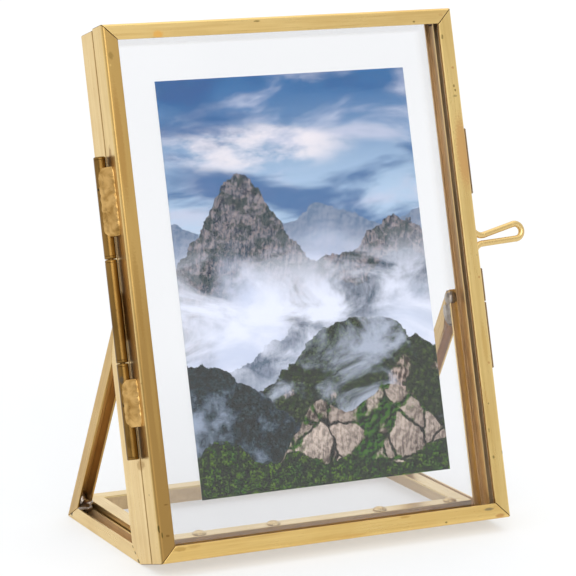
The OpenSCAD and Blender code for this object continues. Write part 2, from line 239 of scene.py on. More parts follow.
tree, given, out = new_group(
    "brushed_brass",
    {"Place": "vector", "Bright": "colour", "Dark": "colour", "Streaks": "value", "Clouds": "value",
     "Specks": "value", "Polish": "value", "Relief": "value"},
    {"Color": "colour", "Roughness": "value", "Normal": "vector"},
)
fine = grain_noise(tree, vectors(tree, "MULTIPLY", given["Place"], FINE_STREAK), 1.0, 3.0, 0.6)
wide = grain_noise(tree, vectors(tree, "MULTIPLY", given["Place"], WIDE_STREAK), 1.0, 2.0)
clouds = grain_noise(tree, given["Place"], 75.0, 4.0, 0.6)
drift = grain_noise(tree, given["Place"], 17.0, 2.0)
streaks = plus(tree, times(tree, minus(tree, fine, 0.5), 0.9), minus(tree, wide, 0.5))
stains = plus(tree, minus(tree, clouds, 0.5), minus(tree, drift, 0.5))
tone = plus(tree, times(tree, streaks, given["Streaks"]), 0.62)
tone = plus(tree, tone, times(tree, stains, given["Clouds"]), clamp=True)
colour = blend_colours(tree, tone, given["Dark"], given["Bright"])
cells = add(tree, "ShaderNodeTexVoronoi", {"Vector": given["Place"], "Scale": 260.0, "Randomness": 1.0})
near_spot = eased(tree, cells.outputs["Distance"], 0.13, 0.05)
lot = add(tree, "ShaderNodeSeparateColor", {"Color": cells.outputs["Color"]}).outputs[0]
chosen = sums(tree, "GREATER_THAN", lot, 1.0 - SPECK_SHARE)
specks = times(tree, times(tree, near_spot, chosen), given["Specks"])
put(tree, out["Color"], blend_colours(tree, specks, colour, srgb(116, 84, 40)))
rough = plus(tree, given["Polish"], times(tree, minus(tree, fine, 0.5), 0.16))
rough = plus(tree, rough, times(tree, minus(tree, clouds, 0.5), -0.12))
put(tree, out["Roughness"], plus(tree, rough, times(tree, specks, 0.3), clamp=True))
height = plus(tree, times(tree, fine, 0.5), plus(tree, wide, clouds))
put(tree, out["Normal"], add(tree, "ShaderNodeBump", {
    "Strength": given["Relief"], "Distance": 0.00012, "Height": height}).outputs[0])
brushed_group = tree
print("brushed_brass has", len(tree.nodes), "nodes")

# %% [markdown]
# Stains, smears, drops of burnt flux and painted shadows and reflections each sit at one place on one strip. The mark
# group gives 1 inside an ellipsoid about a place and fades to 0 outside it, roughened with noise so that no edge is a
# clean circle.

# %% Shader group: mark
tree, given, out = new_group(
    "mark", {"Place": "vector", "Centre": "vector", "Size": "vector", "Ragged": "value"}, {"Mask": "value"})
offset = vectors(tree, "DIVIDE", vectors(tree, "SUBTRACT", given["Place"], given["Centre"]), given["Size"])
edge = times(tree, minus(tree, grain_noise(tree, given["Place"], 1400.0, 3.0), 0.5), given["Ragged"])
reach = plus(tree, vectors(tree, "LENGTH", offset), edge)
put(tree, out["Mask"], eased(tree, reach, 1.15, 0.55))
mark_group = tree


def mark(tree, place, centre, size, ragged=1.0):
    """Mask of one mark. Centre and size are vectors in metres, in the same axes as place."""
    return use_group(tree, mark_group, Place=place, Centre=centre, Size=size, Ragged=ragged)["Mask"]


print("mark has", len(tree.nodes), "nodes")

# %% [markdown]
# Where the two halves meet, shade and grime are painted together into the colour. The seam group measures how far a
# place is from the gap between the two halves and darkens the last half millimetre on both sides of it.

# %% Shader group: painted seam shade and grime
tree, given, out = new_group("seam_shade_and_grime", {"Place": "vector", "Width": "value"}, {"Mask": "value"})
depth = add(tree, "ShaderNodeSeparateXYZ", {"Vector": given["Place"]}).outputs[1]
gap = sums(tree, "ABSOLUTE", plus(tree, depth, SEAM_W * MM))
wander = times(tree, minus(tree, grain_noise(tree, given["Place"], 160.0, 4.0), 0.5), 0.9)
share = plus(tree, sums(tree, "DIVIDE", gap, given["Width"]), wander)
put(tree, out["Mask"], eased(tree, share, 1.1, 0.45))
seam_shade_group = tree
print("seam_shade_and_grime has", len(tree.nodes), "nodes")

# %% [markdown]
# A material for one strip places the brass group, turns the coordinates so that X follows the strip, and adds the
# strip's own marks. The Principled shader stays in the material itself, where the export looks for it. Each strip
# has its own tone, because hand-rubbed brass never matches from bar to bar.

# %% Brass materials
ACROSS, UPWARD, DEEP, SLOPING = (0, 0, 0), (LEAN, 90, 0), (0, 0, -90), (-30.3, 90, 0)
LONG_MARK = 80 * MM


def standing_place(tree):
    """Object coordinates, moved and turned until the frame stands upright at its own foot."""
    shifted = vectors(tree, "SUBTRACT", object_place(tree), FOOT)
    return add(tree, "ShaderNodeMapping", {"Vector": shifted, "Rotation": (radians(LEAN), 0, 0)}).outputs[0]


def stand_place(tree):
    """Object coordinates from the foot of the frame, for the stand."""
    return vectors(tree, "SUBTRACT", object_place(tree), FOOT)


def brass(name, along, bright, dark, streaks=0.9, clouds=0.6, specks=0.55, polish=0.3, relief=0.2, marks=(),
          shade_and_grime=0.0, metal=1.0, on_stand=False):
    """Along is the turn in degrees that brings the strip's length onto X. A mark is its centre and half size in
    millimetres, its colour and its amount. On the frame both are U, V and W, and on the stand X, Y and Z."""
    made, tree, shader = new_material(name)
    turned = add(tree, "ShaderNodeMapping", {
        "Vector": object_place(tree), "Rotation": [radians(a) for a in along]})
    coat = use_group(tree, brushed_group, Place=turned.outputs[0], Bright=bright, Dark=dark, Streaks=streaks,
                     Clouds=clouds, Specks=specks, Polish=polish, Relief=relief)
    colour, rough = coat["Color"], coat["Roughness"]
    if marks or shade_and_grime:
        place = stand_place(tree) if on_stand else standing_place(tree)
    for centre, size, tint, amount in marks:
        if on_stand:
            centre, size = Vector(centre) * MM, Vector(size) * MM
        else:
            centre, size = upright(*centre), Vector((size[0], size[2], size[1])) * MM
        ragged = 0.15 if max(size) > LONG_MARK else 1.0
        mask = times(tree, mark(tree, place, centre, size, ragged), amount)
        colour = blend_colours(tree, mask, colour, tint)
        rough = plus(tree, rough, times(tree, mask, 0.12), clamp=True)
    # Painted shade and grime along the seam between the two halves.
    if shade_and_grime:
        mask = use_group(tree, seam_shade_group, Place=place, Width=shade_and_grime * MM)["Mask"]
        colour = blend_colours(tree, times(tree, mask, 0.6), colour, srgb(150, 108, 50))
    put(tree, shader.inputs["Base Color"], colour)
    put(tree, shader.inputs["Roughness"], rough)
    put(tree, shader.inputs["Normal"], coat["Normal"])
    shader.inputs["Metallic"].default_value = metal
    return made


print("brass recipe ready")

# %% [markdown]
# The marks below were found one by one on the front of the frame: heat stains beside the bolt guides, green specks,
# dark drops at the lower left mitre and a grey smear near the lower right one. Nearly all of them lie on the front
# face or on an outer side, so two small helpers fill in what such marks have in common. Beside the hinge, some marks
# are no stains but the painted shadow and reflection of the hinge barrel on the sides of both halves. A long mark
# darkens the whole face of a strip.

# %% Marks on a face or a side
THROUGH = 2


def on_face(*spots):
    """Marks on the front face, each as U, V, half width, half height, colour and amount."""
    return [((u, v, FACE_W), (wide, high, THROUGH), tint, amount) for u, v, wide, high, tint, amount in spots]


def on_left_side(*spots):
    """Marks on the outer left side, each as V, W, half height, half depth, colour and amount."""
    return [((-SIDE_U, v, w), (THROUGH, high, deep), tint, amount) for v, w, high, deep, tint, amount in spots]


OLIVE, BROWN, TAN, SLATE, SOOT = (
    srgb(128, 108, 58), srgb(110, 76, 34), srgb(196, 150, 92), srgb(128, 118, 92), srgb(40, 32, 22))
# The second colour on the next line is no stain: it paints the shadow and reflection that the hinge barrel throws on
# the sides.
STRAW, BARREL_SHADE, MOSS, UMBER = srgb(190, 150, 84), srgb(176, 140, 76), srgb(84, 74, 34), srgb(108, 84, 34)
print("eight stain colours and a painted barrel shade")

# %% The top and bottom front strips
front_brass = {
    "top": brass("brass_front_top", ACROSS, srgb(236, 206, 140), srgb(206, 170, 102), marks=on_face(
        (-49.5, 188.6, 2.2, 1.6, srgb(216, 160, 76), 0.7),
        (-10.0, 191.6, 1.4, 0.35, OLIVE, 0.8),
        (54.6, 188.5, 0.6, 0.4, OLIVE, 0.9),
        (66.4, 190.6, 1.2, 0.6, TAN, 0.4))),
    "bottom": brass("brass_front_bottom", ACROSS, srgb(238, 206, 134), srgb(212, 172, 98), marks=on_face(
        (61.9, 3.9, 2.2, 0.6, SLATE, 0.8),
        (43.4, 1.2, 0.5, 0.4, OLIVE, 0.9),
        (66.4, 1.0, 2.0, 0.8, srgb(190, 140, 84), 0.8),
        (26.6, 5.2, 2.4, 0.5, STRAW, 0.8),
        (-63.5, 4.5, 2.6, 0.9, srgb(178, 142, 78), 0.7),
        (-58.0, 4.9, 3.0, 0.6, srgb(184, 146, 80), 0.5),
        (-30.0, 5.3, 9.0, 0.4, STRAW, 0.5),
        (5.0, 1.0, 7.0, 0.6, srgb(206, 160, 88), 0.5))),
}
print("front strips so far:", *front_brass)

# %% The left and right front strips
# Two long marks darken the whole left front face, the second more towards its lower end.
left_face_darkening = [
    ((-68.2, 96.6, 21.4), (16, 600, 1.4), srgb(172, 138, 78), 0.85),
    ((-68.2, 20.0, 21.0), (16, 90, 1.2), srgb(142, 110, 60), 0.7)]
left_face = on_face(
    (-70.6, 12.6, 0.3, 1.6, MOSS, 0.9),
    (-69.7, 10.3, 0.3, 1.2, MOSS, 0.8),
    (-67.0, 20.8, 0.9, 0.3, BROWN, 0.6),
    (-67.6, 9.8, 0.8, 0.5, BROWN, 0.6),
    (-68.6, 181.8, 1.0, 1.6, srgb(132, 106, 56), 0.6),
    (-69.2, 178.4, 0.4, 0.5, srgb(206, 174, 108), 0.8),
    (-68.6, 150.0, 1.4, 24.0, srgb(160, 122, 66), 0.6),
    (-68.4, 96.0, 1.2, 18.0, srgb(150, 116, 60), 0.5),
    (-66.9, 60.0, 0.9, 26.0, srgb(176, 144, 84), 0.5))
# The last three marks on the outer left side are the painted shadow and reflection of the hinge barrel: at its top,
# below its lower end and beside its middle.
left_side = on_left_side(
    (24.8, 15.8, 0.5, 0.35, BROWN, 0.7),
    (146.0, 15.5, 4.5, 1.4, srgb(150, 106, 48), 0.7),
    (35.6, 11.0, 2.0, 4.4, BARREL_SHADE, 0.75),
    (92.0, 13.6, 20.0, 1.6, srgb(150, 104, 44), 0.55))
front_brass["left"] = brass("brass_front_left", UPWARD, srgb(240, 212, 150), srgb(208, 174, 108), clouds=0.6,
                            shade_and_grime=0.7, marks=left_face_darkening + left_face + left_side)

right_face = on_face(
    (65.9, 182.2, 0.5, 1.0, OLIVE, 0.8),
    (68.8, 170.4, 0.6, 0.5, TAN, 0.9),
    (68.4, 163.4, 0.35, 0.6, UMBER, 0.9),
    (68.7, 161.8, 0.35, 0.5, UMBER, 0.9),
    (68.3, 159.6, 0.9, 0.5, OLIVE, 0.6),
    (69.4, 90.7, 0.5, 0.5, TAN, 0.9),
    (69.3, 58.3, 0.5, 0.5, TAN, 0.8),
    (67.0, 43.1, 0.4, 0.4, OLIVE, 0.7),
    (65.9, 33.2, 0.3, 0.9, OLIVE, 0.7),
    (66.5, 23.0, 0.45, 0.7, srgb(120, 104, 50), 0.8),
    (68.5, 66.0, 1.0, 9.0, srgb(196, 158, 90), 0.5))
right_fold = [
    ((69.0, 138.0, FACE_W), (3.1, 15.0, 2.6), srgb(202, 158, 102), 0.85),
    ((70.6, 24.4, 20.2), (0.4, 0.8, THROUGH), OLIVE, 0.8)]
front_brass["right"] = brass("brass_front_right", UPWARD, srgb(236, 208, 142), srgb(206, 172, 104), shade_and_grime=0.5,
                             marks=right_face + right_fold)
print("front strips:", *front_brass)

# %% [markdown]
# The side faces of the rear half and the stand are the brightest brass on the frame. The insides of all the folds get
# colours of their own, which paint in the shade lying in them: a dark brown on the front half and paler, pinker
# browns elsewhere. This painted shade has its own material and its own slot on each strip. In most places it is less
# of a metal than bare brass, so that it also scatters light and doesn't turn black deep in a fold.

# %% Rear strips and stand strips
BRIGHT, SHADE = srgb(242, 216, 158), srgb(210, 174, 110)
rear_brass_across = brass("brass_rear_across", ACROSS, BRIGHT, SHADE, shade_and_grime=0.7)
# Both marks on the left side of the rear half are the painted shadow and reflection of the hinge barrel, below its
# lower end and along its length.
rear_brass_up = brass("brass_rear_up", UPWARD, BRIGHT, SHADE, shade_and_grime=0.7, marks=on_left_side(
    (35.6, 9.6, 2.0, 2.4, BARREL_SHADE, 0.7),
    (92.0, 7.5, 46.0, 1.6, srgb(196, 152, 84), 0.4)))
stand_brass_up = brass("brass_stand_upright", UPWARD, BRIGHT, SHADE)
stand_brass_leg = brass("brass_stand_leg", SLOPING, srgb(216, 182, 114), srgb(170, 132, 70))
stand_brass_foot = brass("brass_stand_foot", DEEP, BRIGHT, SHADE, on_stand=True, marks=(
    ((-71.0, 1.6, 1.0), (2, 1.2, 0.8), SOOT, 0.8),
    ((-71.0, 4.6, 3.4), (2, 1.1, 0.8), SOOT, 0.7),
    ((-71.0, 6.8, 5.0), (2, 1.0, 0.7), SOOT, 0.7),
    ((-71.0, 68.6, 2.4), (2, 1.5, 1.6), SOOT, 0.85),
    ((71.0, 4.6, 3.4), (2, 1.1, 0.8), SOOT, 0.7),
    ((71.0, 68.6, 2.4), (2, 1.5, 1.6), SOOT, 0.85)))
BASE_BRIGHT, BASE_SHADE = srgb(238, 214, 160), srgb(206, 176, 120)
base_brass_across = brass("brass_base_across", ACROSS, BASE_BRIGHT, BASE_SHADE)
base_brass_deep = brass("brass_base_deep", DEEP, BASE_BRIGHT, BASE_SHADE)
print("rear and stand strips ready")

# %% The insides of the folds, painted with their shade
# These colours are painted shade for the faces inside the folds.
inside_shade_front = brass("brass_inside_shade_front", UPWARD, srgb(172, 124, 58), srgb(112, 74, 26), streaks=1.3, clouds=0.3,
                    specks=0.3, polish=0.42)
inside_shade_low = brass("brass_inside_shade_low", ACROSS, srgb(226, 186, 116), srgb(178, 136, 76), specks=0.3, polish=0.42,
                  metal=0.8)
inside_shade_rear = brass("brass_inside_shade_rear", UPWARD, srgb(222, 192, 150), srgb(160, 128, 92), streaks=1.6, clouds=0.4,
                   specks=0.3, polish=0.42, metal=0.8)
inside_shade_channel = brass("brass_inside_shade_channel", SLOPING, srgb(232, 198, 138), srgb(186, 148, 92), specks=0.3,
                      polish=0.4)
inside_shade_base = brass("brass_inside_shade_base", DEEP, srgb(240, 214, 170), srgb(200, 168, 124), specks=0.3, polish=0.4,
                   metal=0.5)
print(len([m for m in bpy.data.materials if m.name.startswith("brass")]), "brass materials so far")

# %% [markdown]
# The hinge barrel and the bolt tubes are a much darker brass than the strips. Flux burnt black in small pits on them.

# %% Tubes and wire
tube_brass = brass("brass_tube", UPWARD, srgb(144, 110, 57), srgb(86, 62, 28), clouds=1.0, polish=0.33, relief=0.3,
                   marks=(
                       ((-76.0, 135.0, 12.0), (0.8, 0.7, 0.7), SOOT, 1.0),
                       ((-75.2, 131.4, 12.9), (1.2, 4.0, 1.0), srgb(112, 86, 46), 0.8),
                       ((-75.4, 66.6, 12.8), (0.9, 1.6, 1.2), srgb(96, 84, 66), 0.9),
                       ((-75.4, 57.6, 12.6), (0.8, 1.1, 1.0), srgb(86, 68, 40), 0.9),
                       ((-75.2, 44.0, 12.9), (1.0, 2.6, 1.0), srgb(100, 74, 36), 0.7)))
wire_brass = brass("brass_wire", UPWARD, srgb(234, 206, 146), srgb(200, 166, 102), streaks=0.25, clouds=0.3,
                   specks=0.2, polish=0.27, relief=0.1)
print("tube and wire brass ready")

# %% [markdown]
# Solder is duller and smoother than brass. It flows out warm and golden beside the hinge, where it was gilded with
# the frame, and stays grey and stained with burnt flux in the corners of the stand.

# %% Solder materials
def solder(name, light, dark, burnt, burnt_share, polish, bumps=0.5):
    made, tree, shader = new_material(name)
    spot = object_place(tree)
    flow = grain_noise(tree, spot, 300.0, 3.0, 0.5, distortion=0.6)
    grit = grain_noise(tree, spot, 1500.0, 4.0, 0.6)
    colour = blend_colours(tree, eased(tree, flow, 0.3, 0.7), dark, light)
    uneven = plus(tree, times(tree, grit, 0.5), times(tree, flow, 0.5))
    scorch = eased(tree, uneven, burnt_share, burnt_share - 0.06)
    put(tree, shader.inputs["Base Color"], blend_colours(tree, scorch, colour, burnt))
    put(tree, shader.inputs["Roughness"], plus(tree, polish, times(tree, scorch, 0.25)))
    height = plus(tree, flow, times(tree, grit, 0.25))
    bump = add(tree, "ShaderNodeBump", {"Strength": bumps, "Distance": 0.0003, "Height": height})
    put(tree, shader.inputs["Normal"], bump.outputs[0])
    shader.inputs["Metallic"].default_value = 1.0
    return made


golden_solder = solder("solder_golden", srgb(214, 176, 116), srgb(176, 136, 80), srgb(110, 80, 42), 0.36, 0.34, 0.35)
flux_solder = solder("solder_flux", srgb(212, 172, 108), srgb(166, 128, 70), srgb(96, 70, 34), 0.38, 0.32, 0.4)
pale_solder = solder("solder_pale", srgb(226, 204, 156), srgb(196, 168, 120), srgb(120, 96, 60), 0.33, 0.34, 0.3)
grey_solder = solder("solder_grey", srgb(176, 166, 156), srgb(116, 102, 90), srgb(48, 38, 32), 0.4, 0.3, 0.25)
dark_solder = solder("solder_dark", srgb(128, 108, 92), srgb(76, 58, 44), srgb(34, 28, 26), 0.46, 0.3)
print("solder materials made")

# %% [markdown]
# The panes are thin clear float glass. Rays from the lamps pass straight through, so that the print and the floor
# behind the glass stay lit, while the camera still sees the glass bend and mirror its surroundings.

# %% Glass material
glass, tree, shader = new_material("clear_glass")
shader.inputs["Transmission Weight"].default_value = 1.0
shader.inputs["Roughness"].default_value = 0.0
shader.inputs["IOR"].default_value = 1.5
shader.inputs["Specular IOR Level"].default_value = 0.2
film = eased(tree, grain_noise(tree, object_place(tree), 9.0, 2.0), 0.35, 0.65)
put(tree, shader.inputs["Base Color"], blend_colours(
    tree, film, (0.952, 0.954, 0.962, 1), (0.966, 0.967, 0.974, 1)))
open_to_lamps = add(tree, "ShaderNodeBsdfTransparent", {"Color": (0.95, 0.955, 0.955, 1)})
either = add(tree, "ShaderNodeMixShader")
put(tree, either.inputs[0], add(tree, "ShaderNodeLightPath").outputs["Is Shadow Ray"])
put(tree, either.inputs[1], shader.outputs[0])
put(tree, either.inputs[2], open_to_lamps.outputs[0])
put(tree, tree.nodes["Material Output"].inputs["Surface"], either.outputs[0])
print("glass has", len(tree.nodes), "nodes")

# %% [markdown]
# The folded strips come from the CAD with knife-sharp edges. Each gets a new mesh that starts as a merged copy of
# the CAD node, whose flat faces are joined again, and the bevel operator rounds its edges by a sixth of a
# millimetre. Real folded brass shows a thin bright line there, and so does the render.

# %% Finished pieces and softened strips
def finish_piece(bm, name, materials, body, *nodes, smooth_angle=40.0, weighted=True):
    """Turns a bmesh into a piece that rides on a body and stands for CAD nodes."""
    mesh = bpy.data.meshes.new(name)
    bm.to_mesh(mesh)
    bm.free()
    piece = into_scene(name, mesh)
    for material in materials:
        mesh.materials.append(material)
    mesh.shade_smooth()
    mesh.set_sharp_from_angle(angle=radians(smooth_angle))
    if weighted:
        even = piece.modifiers.new("even_shading", "WEIGHTED_NORMAL")
        even.keep_sharp = True
    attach(piece, body)
    if nodes:
        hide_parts(*nodes)
    return piece


MERGE_NEARER = 1e-6
NEARLY_FLAT, SHARP = radians(1.0), radians(35.0)
EDGE_ROUNDING = 0.17


def merged_copy(node):
    """A bmesh of a CAD node with its loose triangles joined into flat faces."""
    bm = bmesh.new()
    bm.from_mesh(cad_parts[node].data)
    bmesh.ops.remove_doubles(bm, verts=bm.verts, dist=MERGE_NEARER)
    bmesh.ops.dissolve_limit(bm, angle_limit=NEARLY_FLAT, verts=bm.verts, edges=bm.edges)
    return bm


def soften(bm, width, steps=2):
    """Rounds every sharp edge by a width in millimetres."""
    edges = [e for e in bm.edges if e.is_manifold and e.calc_face_angle() > SHARP]
    bmesh.ops.bevel(bm, geom=edges, offset=width * MM, offset_type="OFFSET", segments=steps, profile=0.5,
                    affect="EDGES", material=-1, clamp_overlap=True)


print("mesh helpers ready")

# %% [markdown]
# Which faces of a strip lie open? The ones that a flat board would touch if it were laid against the strip. All
# others lie inside a fold, and they get the second material, which paints the shade of the fold. The mitred ends get
# it too, which draws the joints as fine dark lines.

# %% Strips with open outsides and painted shade inside their folds
BOARD_PLAY = 0.05 * MM


def shade_the_insides(bm, on_frame):
    """Gives the second material, which paints the shade inside the folds, to inside faces and mitred ends, and counts
    them. A mitred end looks halfway between across and up."""
    brown = 0
    for face in bm.faces:
        middle, normal = face.calc_center_median(), face.normal
        touches = all((vert.co - middle).dot(normal) < BOARD_PLAY for vert in bm.verts)
        turned = STOOD_UP.to_3x3() @ normal
        mitred = on_frame and 0.5 < abs(turned.x) < 0.9 and 0.5 < abs(turned.z) < 0.9
        if not touches or mitred:
            face.material_index = 1
            brown += 1
    return brown


def strip(node, name, outside_brass, brown, body):
    bm = merged_copy(node)
    inside = shade_the_insides(bm, node.startswith(("front_", "rear_")))
    soften(bm, EDGE_ROUNDING)
    piece = finish_piece(bm, name, (outside_brass, brown), body, node)
    print(name, len(piece.data.polygons), "faces,", inside, "inside")


for side in ("top", "bottom", "left", "right"):
    strip(f"front_{side}_bar", f"front_{side}_strip", front_brass[side],
          inside_shade_low if side == "bottom" else inside_shade_front, "front_frame")
    strip(f"rear_{side}_bar", f"rear_{side}_strip",
          rear_brass_across if side in ("top", "bottom") else rear_brass_up, inside_shade_rear, "rear_frame")

# %% [markdown]
# The stand is made of the same strip: an angle behind each side of the frame, a channel that slopes down as the
# leg, a channel on the floor, and a low base frame of four angles between them.

# %% Stand strips
for hand in ("left", "right"):
    strip(f"{hand}_upright", f"{hand}_upright_strip", stand_brass_up, inside_shade_rear, "rear_frame")
    strip(f"{hand}_leg", f"{hand}_leg_channel", stand_brass_leg, inside_shade_channel, "rear_frame")
    strip(f"{hand}_foot_bar", f"{hand}_foot_channel", stand_brass_foot, inside_shade_base, "rear_frame")
    strip(f"base_{hand}_bar", f"base_{hand}_angle", base_brass_deep, inside_shade_base, "rear_frame")
for end in ("front", "rear"):
    strip(f"base_{end}_bar", f"base_{end}_angle", base_brass_across, inside_shade_base, "rear_frame")

# %% [markdown]
# The panes have ground edges, so each is a block whose edges the bevel operator breaks. A few hundredths of a
# millimetre stay free on both faces, because two surfaces in exactly the same place flicker when they are rendered.

# %% Glass panes
PANE_WIDE, PANE_T, PANE_FREE, PANE_INSET = 140.0, 2.0, 0.03, 1.0
GROUND_EDGE = 0.25


def pane(node, name, body, back_w, frame_height):
    height = frame_height - 2 * PANE_INSET
    bm = bmesh.new()
    bmesh.ops.create_cube(bm, size=1.0)
    bmesh.ops.scale(bm, vec=Vector((PANE_WIDE, PANE_T - 2 * PANE_FREE, height)) * MM, verts=bm.verts)
    bmesh.ops.translate(bm, vec=upright(0, height / 2 + PANE_INSET, back_w + PANE_T / 2), verts=bm.verts)
    soften(bm, GROUND_EDGE, steps=1)
    bmesh.ops.transform(bm, matrix=LAID_BACK, verts=bm.verts)
    finish_piece(bm, name, (glass,), body, node, weighted=False, smooth_angle=20.0)


pane("front_glass", "front_pane", "front_frame", 11.4, FRAME_H)
pane("rear_glass", "rear_pane", "rear_frame", 8.8, REAR_H)
print("two panes made")

# %% [markdown]
# The hinge barrel is three tubes on one pin, and the bolt slides in three more. A tube is a small profile spun about
# its own axis: the wall, a turned rim at each end and a fine groove under the rim that catches a dark line.

# %% Hinge and bolt tubes
TUBE_R, PIN_BORE, WIRE_BORE = 2.19, 1.05, 1.25
RIM, GROOVE_AT, GROOVE_HALF, GROOVE_DEEP = 0.25, 1.0, 0.1, 0.12
AROUND, SEAM_NEARER = 56, 1e-7


def tube(node, name, body, u, v, length, bore):
    half_profile = [
        (bore, 0.0), (TUBE_R - RIM, 0.0), (TUBE_R, RIM), (TUBE_R, GROOVE_AT - GROOVE_HALF),
        (TUBE_R - GROOVE_DEEP, GROOVE_AT), (TUBE_R, GROOVE_AT + GROOVE_HALF)]
    profile = [(r, v + up) for r, up in half_profile]
    profile += [(r, v + length - up) for r, up in reversed(half_profile)]
    bm = bmesh.new()
    ring = [bm.verts.new(upright(u + r, height, SEAM_W)) for r, height in profile]
    edges = [bm.edges.new(pair) for pair in zip(ring, ring[1:] + ring[:1])]
    bmesh.ops.spin(bm, geom=ring + edges, cent=upright(u, 0, SEAM_W), axis=(0, 0, 1), angle=2 * pi, steps=AROUND,
                   use_merge=True)
    bmesh.ops.remove_doubles(bm, verts=bm.verts, dist=SEAM_NEARER)
    bmesh.ops.recalc_face_normals(bm, faces=bm.faces)
    bmesh.ops.transform(bm, matrix=LAID_BACK, verts=bm.verts)
    finish_piece(bm, name, (tube_brass,), body, node, smooth_angle=50.0)


tube("hinge_lower_knuckle", "lower_hinge_tube", "front_frame", HINGE_U, 37.8, 34.5, PIN_BORE)
tube("hinge_middle_knuckle", "middle_hinge_tube", "rear_frame", HINGE_U, 72.6, 37.1, PIN_BORE)
tube("hinge_upper_knuckle", "upper_hinge_tube", "front_frame", HINGE_U, 110.0, 36.8, PIN_BORE)
tube("bolt_upper_guide", "upper_bolt_tube", "rear_frame", BOLT_U, 123.0, 25.0, WIRE_BORE)
tube("bolt_lower_guide", "lower_bolt_tube", "rear_frame", BOLT_U, 81.8, 12.6, WIRE_BORE)
tube("bolt_catch", "catch_tube", "front_frame", BOLT_U, 56.3, 25.2, WIRE_BORE)
print("six tubes made")

# %% [markdown]
# The bolt wire and the hinge pin keep their CAD shapes, which are exact bends and a plain round rod, and only get
# their material. The pin is as dark as the tubes around it.

# %% Carried-over wire and pin
for node, material in (("bolt_wire", wire_brass), ("hinge_pin", tube_brass)):
    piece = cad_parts[node]
    piece.data.materials.clear()
    piece.data.materials.append(material)
print("wire and pin finished")

# %% [markdown]
# Solder runs as it likes. Each lump starts as a merged copy of the CAD solder with a few round drops added, and a
# voxel remesh melts them together before the smoothing lets them flow.

# %% Solder lumps
def solder_lump(node, name, material, body, drops=(), voxel=0.25, flow=6):
    """A drop is its centre in the scene, its half sizes across, in depth and up in millimetres, and its turn in
    degrees about the frame's upward line. All drops lean like the frame."""
    bm = merged_copy(node)
    for centre, size, turn in drops:
        made = bmesh.ops.create_icosphere(bm, subdivisions=4, radius=1.0)["verts"]
        bmesh.ops.scale(bm, vec=Vector(size) * MM, verts=made)
        leaning = Matrix.Rotation(radians(-LEAN), 4, "X") @ Matrix.Rotation(radians(turn), 4, "Z")
        bmesh.ops.transform(bm, matrix=leaning, verts=made)
        bmesh.ops.translate(bm, vec=centre, verts=made)
    piece = finish_piece(bm, name, (material,), body, node, weighted=False, smooth_angle=180.0)
    melt = piece.modifiers.new("melt", "REMESH")
    melt.mode, melt.voxel_size, melt.use_smooth_shade = "VOXEL", voxel * MM, True
    run = piece.modifiers.new("run", "SMOOTH")
    run.factor, run.iterations = 0.5, flow


print("solder helper ready")

# %% [markdown]
# The solder beside the hinge is a long bead that was wiped from the tube onto the front strip. It is a chain of flat
# drops, one set against the strip and one around the tube. A sine makes them swell and shrink, as a hand does.

# %% Solder beside the hinge
DROP_EVERY, END_ROOM, SWELL = 1.5, 2.4, 0.2
TO_STRIP, TO_TUBE = -49.0, -35.0
fillets = []
for low, high in ((49.6, 66.2), (117.9, 142.5)):
    steps = round((high - low) / DROP_EVERY)
    for step in range(steps + 1):
        v = low + END_ROOM + (high - low - 2 * END_ROOM) * step / steps
        swell = SWELL * sin(2.3 * step)
        fillets.append((laid(-72.42 + 0.4 * swell, v, 14.4), (3.3 + swell, 1.0 + swell, 2.8), TO_STRIP))
        fillets.append((laid(-73.9, v, 12.8), (1.7, 1.0 + swell, 2.4), TO_TUBE))
solder_lump("hinge_front_solder", "front_hinge_solder", flux_solder, "front_frame", drops=fillets, voxel=0.2,
            flow=14)
solder_lump("hinge_middle_solder", "middle_hinge_solder", golden_solder, "rear_frame", voxel=0.2, flow=16)
print(len(fillets), "drops beside the hinge")

# %% Solder of the bolt tubes and the corners
solder_lump("bolt_guide_solder", "bolt_tube_solder", golden_solder, "rear_frame", flow=10)
solder_lump("bolt_catch_solder", "catch_solder", golden_solder, "front_frame", flow=10)
solder_lump("front_corner_solder", "front_inner_corner_solder", dark_solder, "front_frame")
solder_lump("rear_corner_solder", "rear_inner_corner_solder", dark_solder, "rear_frame")
solder_lump("base_bead_solder", "base_solder_mounds", pale_solder, "rear_frame", flow=4)
print("tube, corner and base solder made")

# %% [markdown]
# The stand's corners were filled from the inside until the grey pool stood above the strips. On each side four
# drops overlap at the floor and two at the top of the leg, and the right side mirrors the left one.

# %% Solder in the corners of the stand
CHANNEL_X, TO_MIDDLE = 68.2, 0.75
blobs = []
for x, inner in ((-CHANNEL_X, TO_MIDDLE), (CHANNEL_X, -TO_MIDDLE)):
    blobs += [
        (stand(x, 61.6, 5.3), (2.7, 5.2, 1.5), 0),
        (stand(x, 65.4, 7.6), (2.7, 2.5, 3.4), 0),
        (stand(x + inner * 1.2, 66.4, 4.2), (3.0, 3.4, 3.6), 0),
        (stand(x + inner * 2.4, 64.4, 6.2), (2.6, 4.2, 2.2), 0),
        (stand(x + inner, 24.2, 76.0), (2.4, 2.4, 5.6), 0),
        (stand(x + inner, 23.4, 81.6), (2.5, 2.2, 3.0), 0),
    ]
solder_lump("stand_corner_solder", "stand_solder_pools", grey_solder, "rear_frame", drops=blobs, flow=4)
print(len(blobs), "drops in the stand")

# %% [markdown]
# The print is a thin sheet of photographic paper, pressed flat between the panes. Its front carries a picture of
# misty mountains that is drawn by nodes alone, and its back and edges are plain paper. The picture is built like a
# stage set, from the sky forward, and each layer hides what is behind it. The ridge group cuts such a layer out:
# its outline comes from a curve, is made jagged with noise, and ends in a soft or a hard edge.

